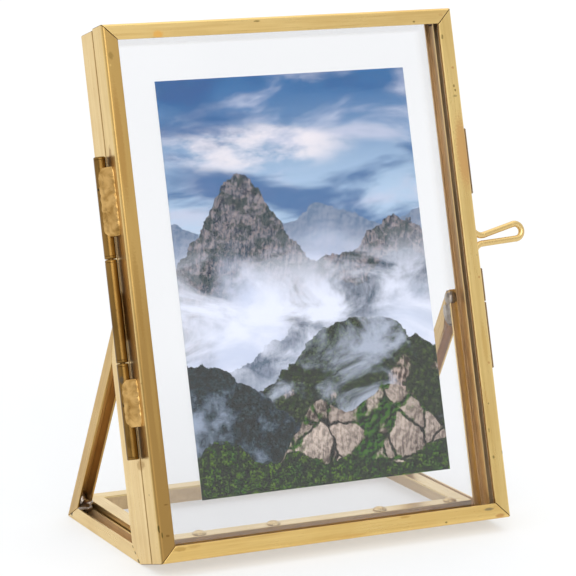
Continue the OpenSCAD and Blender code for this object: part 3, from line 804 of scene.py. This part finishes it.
# %% Shader group: ridge
tree, given, out = new_group(
    "ridge",
    {"Place": "vector", "Outline": "value", "Jag": "value", "Scale": "value", "Softness": "value"},
    {"Mask": "value", "Below": "value"})
height_here = add(tree, "ShaderNodeSeparateXYZ", {"Vector": given["Place"]}).outputs[1]
crest = grain_noise(tree, given["Place"], given["Scale"], 9.0, 0.62)
crest = times(tree, minus(tree, crest, 0.5), given["Jag"])
below = minus(tree, plus(tree, given["Outline"], crest), height_here)
put(tree, out["Mask"], sums(tree, "DIVIDE", below, given["Softness"], clamp=True))
put(tree, out["Below"], below)
ridge_group = tree
print("ridge has", len(tree.nodes), "nodes")

# %% [markdown]
# Rock looks solid once it is lit from one side. The relief group samples a noise here and again a small step towards
# the light. Where the noise falls away in that direction the rock faces the light, so the difference between the two
# is its shading.

# %% Shader group: relief
TOWARDS_LIGHT = (-0.006, 0.008, 0.0)
tree, given, out = new_group(
    "relief",
    {"Place": "vector", "Stretch": "vector", "Scale": "value", "Contrast": "value", "Rough": "value"},
    {"Light": "value"})
stretched = vectors(tree, "MULTIPLY", given["Place"], given["Stretch"])
here = grain_noise(tree, stretched, given["Scale"], 7.0, given["Rough"])
there = grain_noise(tree, vectors(tree, "ADD", stretched, TOWARDS_LIGHT), given["Scale"], 7.0, given["Rough"])
slope = times(tree, minus(tree, here, there), given["Contrast"])
put(tree, out["Light"], plus(tree, slope, 0.5, clamp=True))
relief_group = tree
print("relief has", len(tree.nodes), "nodes")

# %% [markdown]
# Trees seen from far away are round clumps with dark gaps between them. The canopy group bends the cells of a
# Voronoi texture with noise, lights each cell as a ball, and breaks it up with finer noise for the leaves.

# %% Shader group: canopy
BALL_LIGHT = (-0.35, 0.75, 0.0)
tree, given, out = new_group("canopy", {"Place": "vector", "Scale": "value"}, {"Light": "value", "Tint": "value"})
bend = add(tree, "ShaderNodeTexNoise", {"Vector": given["Place"], "Scale": given["Scale"], "Detail": 5.0,
                                        "Roughness": 0.65}).outputs["Color"]
sway = add(tree, "ShaderNodeVectorMath", {"Vector": bend, "Scale": sums(tree, "DIVIDE", 0.9, given["Scale"])},
           operation="SCALE").outputs["Vector"]
bent = vectors(tree, "ADD", given["Place"], sway)
clumps = add(tree, "ShaderNodeTexVoronoi", {"Vector": bent, "Scale": given["Scale"]}).outputs
from_middle = vectors(tree, "SUBTRACT", bent, clumps["Position"])
round_light = times(tree, vectors(tree, "DOT_PRODUCT", from_middle, BALL_LIGHT), given["Scale"])
between = eased(tree, clumps["Distance"], 0.3, 0.75)
leaves = grain_noise(tree, given["Place"], times(tree, given["Scale"], 3.2), 6.0, 0.75)
light = plus(tree, times(tree, round_light, 0.4), eased(tree, leaves, 0.42, 0.68))
put(tree, out["Light"], minus(tree, light, times(tree, between, 0.4), clamp=True))
put(tree, out["Tint"], add(tree, "ShaderNodeSeparateColor", {"Color": clumps["Color"]}).outputs[0])
canopy_group = tree
print("canopy has", len(tree.nodes), "nodes")

# %% [markdown]
# The picture's place is measured in print widths from its lower left corner, so it runs from 0 to 1 across and from
# 0 to 1.5 up, and one noise scale means the same size in both directions. It starts from Object coordinates, so the
# picture stays on the sheet however the sheet is moved.

# %% The picture's own place
PRINT_W, PRINT_H, PRINT_U = 101.6, 152.4, 1.6
PRINT_V = (FRAME_H - PRINT_H) / 2
TALL = 1.5

picture_material, ink, ink_shader = new_material("picture_misty_mountains")
corner = upright(PRINT_U - PRINT_W / 2, PRINT_V, 0)
axes = add(ink, "ShaderNodeSeparateXYZ", {
    "Vector": vectors(ink, "SUBTRACT", standing_place(ink), corner)}).outputs
across = times(ink, axes[0], 1000 / PRINT_W)
up = times(ink, axes[2], 1000 / PRINT_W)
flat = add(ink, "ShaderNodeCombineXYZ", {"X": across, "Y": up, "Z": 0.0}).outputs[0]
print("picture is 1 wide and", round(PRINT_H / PRINT_W, 2), "tall")

# %% [markdown]
# Every layer asks for the same few things: a noise from its own part of space, a slope in the light, and a ridge with
# an outline. These helpers add them. The shift keeps two layers from showing the same pattern.

# %% Helpers for the layers
def noise(scale, detail=6.0, rough=0.55, stretch=(1, 1, 1), shift=0.0, distortion=0.0):
    moved = vectors(ink, "ADD", vectors(ink, "MULTIPLY", flat, stretch), (shift, shift * 0.7, shift * 0.3))
    return grain_noise(ink, moved, scale, detail, rough, distortion=distortion)


def elsewhere(amount):
    return vectors(ink, "ADD", flat, (amount, amount * 0.6, amount))


def relief(scale, contrast, rough=0.6, stretch=(1, 1, 1), shift=0.0):
    return use_group(ink, relief_group, Place=elsewhere(shift), Stretch=stretch, Scale=scale, Contrast=contrast,
                     Rough=rough)["Light"]


def outline_curve(heights):
    """Height of a ridge at each place across, from a few points of a Float Curve."""
    made = add(ink, "ShaderNodeFloatCurve", {"Value": across})
    line = made.mapping.curves[0]
    for point, height in zip((line.points[0], line.points[-1]), (heights[0], heights[-1])):
        point.location[1] = height / TALL
    for step, height in enumerate(heights[1:-1], 1):
        line.points.new(step / (len(heights) - 1), height / TALL)
    made.mapping.update()
    return times(ink, made.outputs[0], TALL)


def ridge(heights, jag, scale, softness, shift):
    """Mask of a ridge, and how far each place is below its outline."""
    moved = vectors(ink, "ADD", flat, (shift, 0.0, shift))
    made = use_group(ink, ridge_group, Place=moved, Outline=outline_curve(heights), Jag=jag, Scale=scale,
                     Softness=softness)
    return made["Mask"], made["Below"]


def wood(scale, shift, shade, leaf, young, young_share):
    """Colour of tree tops, with some of the clumps in a younger green."""
    trees = use_group(ink, canopy_group, Place=elsewhere(shift), Scale=scale)
    colour = blend_colours(ink, trees["Light"], shade, leaf)
    return blend_colours(ink, times(ink, times(ink, trees["Tint"], trees["Light"]), young_share), colour, young)


print("layer helpers ready")

# %% [markdown]
# The sky comes first. It is deep blue above and pale below, with banks of cloud drawn out sideways by a stretched
# noise, and a warm glow low down.

# %% Painting the sky
sky = blend_colours(ink, eased(ink, up, 0.95, 1.5), srgb(172, 194, 216), srgb(54, 104, 154))
bank = noise(2.6, 7.0, 0.55, stretch=(1.0, 2.6, 1.0), shift=3.1, distortion=0.5)
sky = blend_colours(ink, eased(ink, bank, 0.44, 0.66, 0.0, 0.85), sky, srgb(186, 190, 208))
deep = noise(1.9, 6.0, 0.5, stretch=(1.0, 3.2, 1.0), shift=8.4, distortion=0.4)
sky = blend_colours(ink, eased(ink, deep, 0.46, 0.64, 0.0, 0.85), sky, srgb(36, 86, 138))
glow = mark(ink, flat, Vector((0.36, 1.24, 0)), Vector((0.42, 0.1, 1)), 0.5)
warm = eased(ink, noise(3.4, 6.0, 0.6, stretch=(1.0, 2.4, 1.0), shift=1.3), 0.4, 0.62)
painted = blend_colours(ink, times(ink, times(ink, glow, warm), 0.8), sky, srgb(232, 224, 226))
print("sky painted")

# %% [markdown]
# Distance turns rock pale and blue. The far ridge is nearly lost in the haze, the main peaks show grey-pink faces in
# the light with scrub between them, and a lower spur comes out of the mist on the right. How far a place is below
# its outline decides how much haze lies on it.

# %% Painting the far ridge
mask, below = ridge((0.98, 0.93, 0.9, 0.94, 0.99, 1.02, 0.97, 0.93, 0.98), 0.16, 6.0, 0.004, 2.2)
faded = blend_colours(ink, eased(ink, below, 0.0, 0.22), srgb(98, 118, 144), srgb(172, 182, 204))
lit = relief(16.0, 8.0, 0.65, (1.0, 0.7, 1.0), 4.0)
faded = blend_colours(ink, times(ink, lit, 0.22), faded, srgb(188, 186, 196))
painted = blend_colours(ink, mask, painted, faded)
print("far ridge painted")

# %% Painting the main peaks
mask, below = ridge((0.84, 0.96, 1.1, 1.14, 1.0, 0.86, 0.8, 0.84, 0.94, 0.98, 0.9), 0.26, 5.0, 0.003, 5.7)
lit = relief(13.0, 9.0, 0.68, (1.5, 0.55, 1.0), 6.0)
grit = relief(46.0, 7.0, 0.7, (1.2, 0.8, 1.0), 2.0)
rock = blend_colours(ink, times(ink, lit, 0.9), srgb(34, 54, 70), srgb(132, 126, 132))
rock = blend_colours(ink, eased(ink, grit, 0.6, 1.0, 0.0, 0.5), rock, srgb(158, 142, 140))
scrub = eased(ink, noise(22.0, 6.0, 0.65, shift=7.7), 0.47, 0.58)
rock = blend_colours(ink, times(ink, scrub, 0.75), rock, srgb(36, 58, 58))
wisps = times(ink, minus(ink, noise(4.0, 6.0, 0.6, shift=9.1), 0.5), 0.5)
rock = blend_colours(ink, eased(ink, plus(ink, below, wisps), 0.2, 0.5), rock, srgb(192, 200, 220))
painted = blend_colours(ink, mask, painted, rock)
print("main peaks painted")

# %% Painting the lower spur
mask, below = ridge((0.42, 0.44, 0.46, 0.5, 0.56, 0.66, 0.74, 0.72, 0.78, 0.84, 0.8), 0.2, 7.0, 0.004, 11.3)
lit = relief(20.0, 8.0, 0.66, (1.3, 0.7, 1.0), 12.0)
spur = blend_colours(ink, times(ink, lit, 0.7), srgb(52, 74, 92), srgb(124, 130, 146))
spur = blend_colours(ink, eased(ink, below, 0.04, 0.26), spur, srgb(196, 204, 222))
painted = blend_colours(ink, times(ink, mask, 0.85), painted, spur)
print("spur painted")

# %% [markdown]
# Mist fills the valley. It is one bank of noise that fades out above and below, laid over the peaks and hidden in
# its turn by the hills in front.

# %% Painting the mist
bank = noise(3.3, 8.0, 0.58, stretch=(1.0, 1.7, 1.0), shift=14.2, distortion=0.8)
in_valley = times(ink, eased(ink, up, 0.3, 0.5), eased(ink, up, 0.95, 0.66))
veil = times(ink, eased(ink, bank, 0.38, 0.62), in_valley)
painted = blend_colours(ink, veil, painted, srgb(218, 222, 236))
print("mist painted")

# %% [markdown]
# A wooded hill rises from left to right, with a few bare cliffs and a little mist of its own. A dark slope lies in
# shadow on the left.

# %% Painting the woods
mask, _ = ridge((0.26, 0.32, 0.36, 0.38, 0.44, 0.52, 0.57, 0.6, 0.58, 0.52, 0.46), 0.12, 12.0, 0.003, 17.9)
woods = wood(52.0, 18.0, srgb(14, 26, 22), srgb(84, 106, 66), srgb(126, 136, 84), 0.5)
bare = eased(ink, noise(7.0, 7.0, 0.65, shift=21.4), 0.56, 0.62)
cliff = blend_colours(ink, relief(30.0, 9.0, 0.7, (1.5, 0.6, 1.0), 23.0), srgb(66, 56, 54), srgb(176, 158, 148))
woods = blend_colours(ink, bare, woods, cliff)
low_mist = eased(ink, noise(3.6, 7.0, 0.6, stretch=(1.0, 1.4, 1.0), shift=25.0, distortion=0.6), 0.47, 0.68)
woods = blend_colours(ink, times(ink, low_mist, 0.85), woods, srgb(176, 184, 202))
painted = blend_colours(ink, mask, painted, woods)
print("woods painted")

# %% Painting the shaded slope
mask, _ = ridge((0.5, 0.46, 0.38, 0.28, 0.2, 0.12, 0.06, 0.02, 0.0), 0.14, 9.0, 0.004, 29.3)
trees = use_group(ink, canopy_group, Place=elsewhere(30.0), Scale=46.0)
slope = blend_colours(ink, trees["Light"], srgb(16, 28, 34), srgb(88, 106, 108))
slope = blend_colours(ink, eased(ink, noise(5.0, 7.0, 0.6, shift=31.0), 0.46, 0.68), slope, srgb(150, 162, 182))
painted = blend_colours(ink, mask, painted, slope)
print("slope painted")

# %% [markdown]
# Boulders stand in front on the right. Each is one cell of a Voronoi texture whose places were bent with noise. It
# is rounded by its own light, split by dark cracks where two cells meet, and partly overgrown.

# %% Painting the boulders
moved = vectors(ink, "MULTIPLY", elsewhere(3.0), (1.15, 0.9, 0.0))
bend = add(ink, "ShaderNodeTexNoise", {
    "Vector": moved, "Scale": 7.0, "Detail": 7.0, "Roughness": 0.62}).outputs["Color"]
warped = vectors(ink, "ADD", moved, vectors(ink, "MULTIPLY", bend, (0.09, 0.09, 0.0)))
cracks = add(ink, "ShaderNodeTexVoronoi", {"Vector": warped, "Scale": 7.5},
             feature="DISTANCE_TO_EDGE").outputs[0]
blocks = add(ink, "ShaderNodeTexVoronoi", {"Vector": warped, "Scale": 7.5}).outputs
tint = add(ink, "ShaderNodeSeparateColor", {"Color": blocks["Color"]}).outputs[0]
from_middle = vectors(ink, "SUBTRACT", warped, blocks["Position"])
round_light = plus(ink, vectors(ink, "DOT_PRODUCT", from_middle, (-3.6, 6.2, 0.0)), 0.5, clamp=True)
grain = relief(15.0, 9.0, 0.72, (1.4, 0.7, 1.0), 35.0)
light = plus(ink, times(ink, grain, 0.55), times(ink, round_light, 0.5), clamp=True)
stone = blend_colours(ink, light, srgb(48, 42, 42), srgb(206, 190, 178))
stone = blend_colours(ink, times(ink, tint, 0.3), stone, srgb(120, 104, 98))
stone = blend_colours(ink, eased(ink, cracks, 0.05, 0.015), stone, srgb(30, 26, 26))
bush = blend_colours(ink, relief(44.0, 7.0, 0.64, shift=41.0), srgb(10, 22, 8), srgb(70, 104, 40))
overgrown = plus(ink, times(ink, eased(ink, cracks, 0.12, 0.03), 0.1), noise(5.5, 7.0, 0.68, shift=44.0))
stone = blend_colours(ink, eased(ink, overgrown, 0.52, 0.62), stone, bush)
mask, _ = ridge((0.0, 0.0, 0.02, 0.08, 0.2, 0.3, 0.26, 0.3, 0.34, 0.26, 0.14), 0.08, 9.0, 0.003, 33.0)
painted = blend_colours(ink, mask, painted, stone)
print("boulders painted")

# %% [markdown]
# Bushes close the lower edge. After that the picture only needs its finish: printing ink deepens the shadows, which
# the glass in front makes paler again, and the surface of the paper has a soft sheen.

# %% Painting the bushes, and the finish of the print
mask, _ = ridge((0.16, 0.2, 0.14, 0.1, 0.13, 0.08, 0.1, 0.07, 0.05, 0.09, 0.12), 0.12, 15.0, 0.003, 37.0)
bushes = wood(40.0, 38.0, srgb(12, 28, 8), srgb(84, 124, 46), srgb(150, 170, 84), 0.6)
painted = blend_colours(ink, mask, painted, bushes)
deepened = add(ink, "ShaderNodeBrightContrast", {"Color": painted, "Contrast": 0.07}).outputs[0]
put(ink, ink_shader.inputs["Base Color"], deepened)
ink_shader.inputs["Roughness"].default_value = 0.42
ink_shader.inputs["Specular IOR Level"].default_value = 0.08
print("picture has", len(ink.nodes), "nodes")

# %% [markdown]
# The back and the edges of the sheet are bare paper: nearly white, a little cloudy, with fibres that catch the light.

# %% Plain paper
paper, tree, shader = new_material("plain_paper")
spot = object_place(tree)
fibre = grain_noise(tree, spot, 900.0, 5.0, 0.6)
cloud = grain_noise(tree, spot, 60.0, 3.0)
tone = plus(tree, times(tree, fibre, 0.5), times(tree, cloud, 0.5))
put(tree, shader.inputs["Base Color"], blend_colours(tree, tone, srgb(226, 227, 230), srgb(244, 244, 243)))
put(tree, shader.inputs["Normal"], add(tree, "ShaderNodeBump", {
    "Strength": 0.2, "Distance": 0.00005, "Height": fibre}).outputs[0])
shader.inputs["Roughness"].default_value = 0.6
print("paper has", len(tree.nodes), "nodes")

# %% [markdown]
# The sheet starts as a block of the size of a standard 4 by 6 inch print. The face that looks out of the frame
# takes the picture, and the other five keep the plain paper.

# %% Print sheet
PAPER_T, PAPER_W = 0.16, 10.92
bm = bmesh.new()
bmesh.ops.create_cube(bm, size=1.0)
bmesh.ops.scale(bm, vec=Vector((PRINT_W, PAPER_T, PRINT_H)) * MM, verts=bm.verts)
for face in bm.faces:
    face.material_index = 0 if face.normal.y < -0.5 else 1
bmesh.ops.translate(bm, vec=upright(PRINT_U, PRINT_V + PRINT_H / 2, PAPER_W), verts=bm.verts)
bmesh.ops.transform(bm, matrix=LAID_BACK, verts=bm.verts)
finish_piece(bm, "print_sheet", (picture_material, paper), "rear_frame", "print", weighted=False)
print("print sheet is", PRINT_W, "by", PRINT_H, "mm")

# %% [markdown]
# The studio is a white floor under soft light. The floor glows a little for the camera, and for rays that come by
# way of metal or glass, so it reaches white without more light on the frame. The frame's shadow stays on it, because
# the glow is only half of its brightness.

# %% Floor
FLOOR_REACH, UNDER_THE_FEET = 6.0, 0.05 * MM
bm = bmesh.new()
bmesh.ops.create_grid(bm, x_segments=1, y_segments=1, size=FLOOR_REACH)
bmesh.ops.translate(bm, vec=(0, 0, -UNDER_THE_FEET), verts=bm.verts)
mesh = bpy.data.meshes.new("studio_floor")
bm.to_mesh(mesh)
bm.free()
into_scene("studio_floor", mesh)

floor_white, tree, shader = new_material("studio_floor")
shader.inputs["Base Color"].default_value = (0.46, 0.47, 0.48, 1)
shader.inputs["Roughness"].default_value = 0.9
shader.inputs["Specular IOR Level"].default_value = 0.1
shader.inputs["Emission Color"].default_value = (1, 1, 1, 1)
path = add(tree, "ShaderNodeLightPath").outputs
indirect = plus(tree, path["Is Glossy Ray"], path["Is Transmission Ray"])
seen = plus(tree, path["Is Camera Ray"], indirect, clamp=True)
lift = eased(tree, vectors(tree, "LENGTH", object_place(tree)), 0.2, 3.0, 0.46, 0.6)
put(tree, shader.inputs["Emission Strength"], times(tree, seen, lift))
mesh.materials.append(floor_white)
print("floor is", 2 * FLOOR_REACH, "m wide")

# %% [markdown]
# The world is plain white for the camera and for glass. Metal mirrors a white tent behind and beside the frame, and
# a dim room where the camera stands, which gives the flat brass faces their depth and puts a dark line along each
# fold.

# %% World
TO_THE_ROOM = Vector((-0.5, -0.86, 0.08)).normalized()
DAYLIGHT = 0.88
world = bpy.data.worlds.new("studio_world")
world.use_nodes = True
tree = world.node_tree
path = add(tree, "ShaderNodeLightPath").outputs
way = add(tree, "ShaderNodeTexCoord").outputs["Generated"]
tent = eased(tree, vectors(tree, "DOT_PRODUCT", way, (0.0, 1.0, 0.0)), -0.95, 0.1, 0.78, 1.0)
room = eased(tree, vectors(tree, "DOT_PRODUCT", way, TO_THE_ROOM), 0.84, 0.985)
tent = times(tree, tent, minus(tree, 1.0, times(tree, room, 0.68)))
strength = plus(tree, DAYLIGHT, times(tree, path["Is Glossy Ray"], minus(tree, tent, DAYLIGHT)))
clear = plus(tree, path["Is Camera Ray"], path["Is Transmission Ray"], clamp=True)
strength = plus(tree, times(tree, strength, minus(tree, 1.0, clear)), clear)
put(tree, tree.nodes["Background"].inputs["Strength"], strength)
tree.nodes["Background"].inputs["Color"].default_value = (1, 1, 1, 1)
bpy.context.scene.world = world
print("world has", len(tree.nodes), "nodes")

# %% [markdown]
# Two softboxes add direction to the even light. The one overhead draws the shadow under the frame. The one in front
# shines through the glass onto the print.

# %% Softboxes
def softbox(name, place, aim_at, size, power):
    lamp = bpy.data.lights.new(name, "AREA")
    lamp.shape, lamp.size, lamp.energy = "SQUARE", size, power
    made = into_scene(name, lamp)
    made.location = place
    made.rotation_mode = "QUATERNION"
    made.rotation_quaternion = (Vector(aim_at) - Vector(place)).to_track_quat("-Z", "Y")
    print(name, power, "W")


softbox("softbox_overhead", (0.0, 0.25, 1.5), (0, 0, 0.05), 2.2, 7)
softbox("softbox_front", (-0.5, -1.9, 1.2), (0, 0, 0.1), 1.6, 22)

# %% [markdown]
# Strips and tubes keep the sizes of the CAD. The scene uses the Standard view transform.

# %% View transform
bpy.context.scene.view_settings.view_transform = "Standard"
